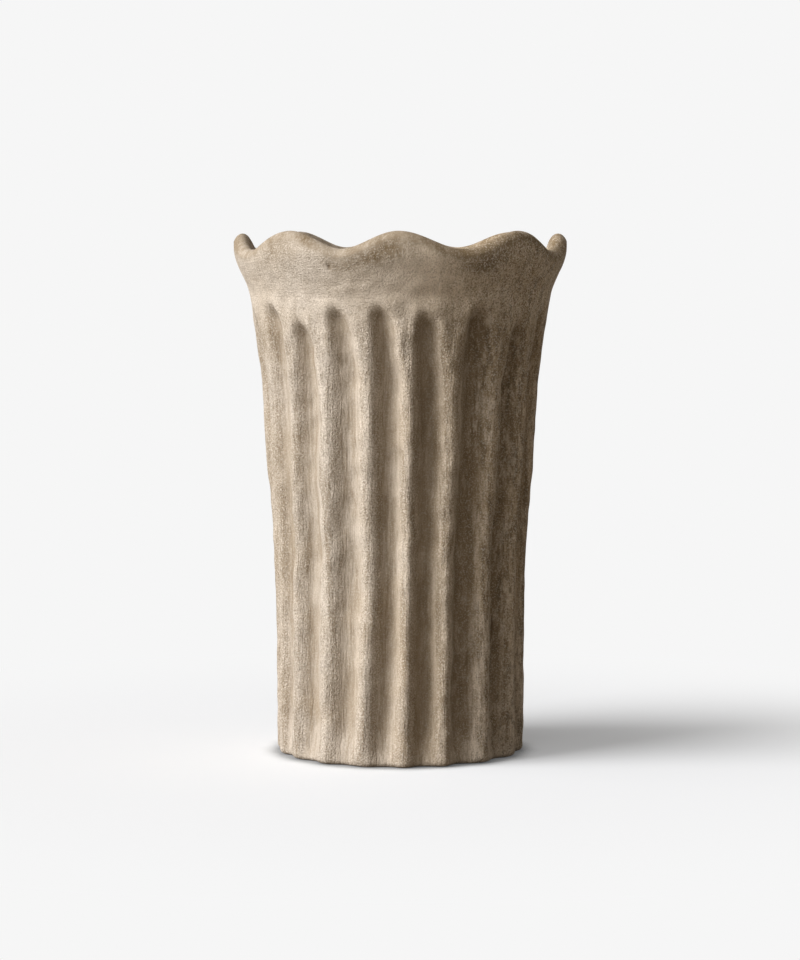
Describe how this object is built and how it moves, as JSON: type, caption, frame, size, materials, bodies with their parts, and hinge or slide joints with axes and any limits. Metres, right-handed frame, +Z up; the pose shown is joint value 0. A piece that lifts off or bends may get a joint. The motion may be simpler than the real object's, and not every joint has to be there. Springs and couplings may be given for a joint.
{
  "type": "urn vase",
  "caption": "Tall hand-built clay vase: a fluted wall that flares gently to a collar with a scalloped lip, open at the top, with a flat foot.",
  "frame": {"origin": "centre of the foot, on the table", "axes": "+Z up along the vase's axis, -Y towards the front seen in the picture"},
  "size_m": [0.1946, 0.1946, 0.3051],
  "materials": {
    "bare_clay": "dry matte bare clay with fine grain and drawn streaks",
    "inner_glaze": "thin satin brown glaze"
  },
  "bodies": {
    "root": {"fluted_wall": "bare_clay", "scalloped_collar": "bare_clay", "floor_disc": "bare_clay", "corner_coil": "bare_clay", "glaze_lining": "inner_glaze"}
  },
  "joints": []
}
